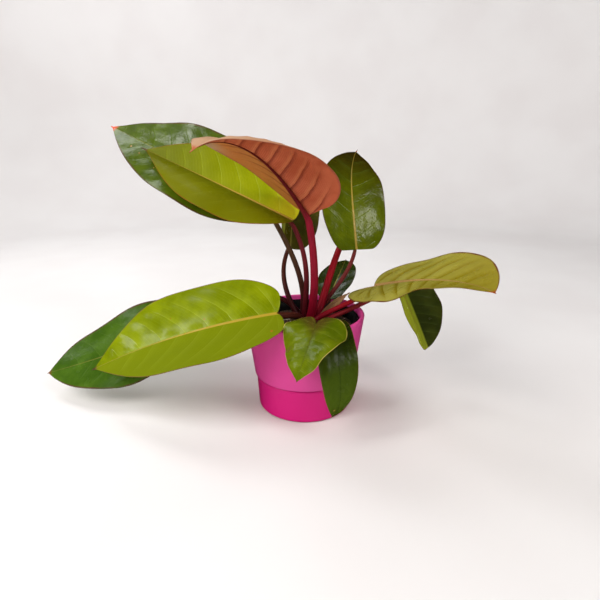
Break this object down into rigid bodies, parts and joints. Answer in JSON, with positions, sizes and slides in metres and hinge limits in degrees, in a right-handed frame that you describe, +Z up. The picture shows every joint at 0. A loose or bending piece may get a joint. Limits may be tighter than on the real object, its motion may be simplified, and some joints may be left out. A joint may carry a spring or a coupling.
{
  "type": "potted prince of orange philodendron",
  "caption": "Potted philodendron with broad glossy leaves, green to lime, and new orange ones, on brown and red stalks in a round magenta pot.",
  "frame": {"origin": "centre of the outer pot's flat underside, at the level it stands on", "axes": "+Z up along the pot's axis, -Y towards the front, from which the picture is taken, +X to its right"},
  "size_m": [0.5007, 0.3264, 0.3313],
  "materials": {
    "pot_magenta": "satin",
    "pot_black": "satin",
    "potting_mix": "matte",
    "crown_brown": "satin",
    "sheath_straw": "matte",
    "leaf_dark": "satin",
    "leaf_lime": "satin",
    "leaf_heart": "satin",
    "leaf_olive": "satin",
    "leaf_orange": "satin",
    "stalk_red": "satin",
    "stalk_brown": "satin"
  },
  "bodies": {
    "root": {"outer_pot": "pot_magenta", "nursery_pot": "pot_black", "soil": "potting_mix", "crown": "crown_brown", "dry_sheath": "sheath_straw", "high_left_blade": "leaf_dark", "high_left_petiole": "stalk_brown", "folded_left_blade": "leaf_lime", "folded_left_petiole": "stalk_brown", "new_orange_blade": "leaf_orange", "new_orange_petiole": "stalk_red", "big_left_blade": "leaf_lime", "big_left_petiole": "stalk_brown", "low_left_blade": "leaf_dark", "low_left_petiole": "stalk_brown", "front_heart_blade": "leaf_heart", "front_heart_petiole": "stalk_red", "rim_hanging_blade": "leaf_dark", "rim_hanging_petiole": "stalk_brown", "lime_right_blade": "leaf_olive", "lime_right_petiole": "stalk_red", "hanging_right_blade": "leaf_dark", "hanging_right_petiole": "stalk_red", "upright_right_blade": "leaf_dark", "upright_right_petiole": "stalk_brown", "inner_back_blade": "leaf_dark", "inner_back_petiole": "stalk_brown", "low_back_blade": "leaf_dark", "low_back_petiole": "stalk_brown", "back_orange_blade": "leaf_orange", "back_orange_petiole": "stalk_red"}
  },
  "joints": []
}
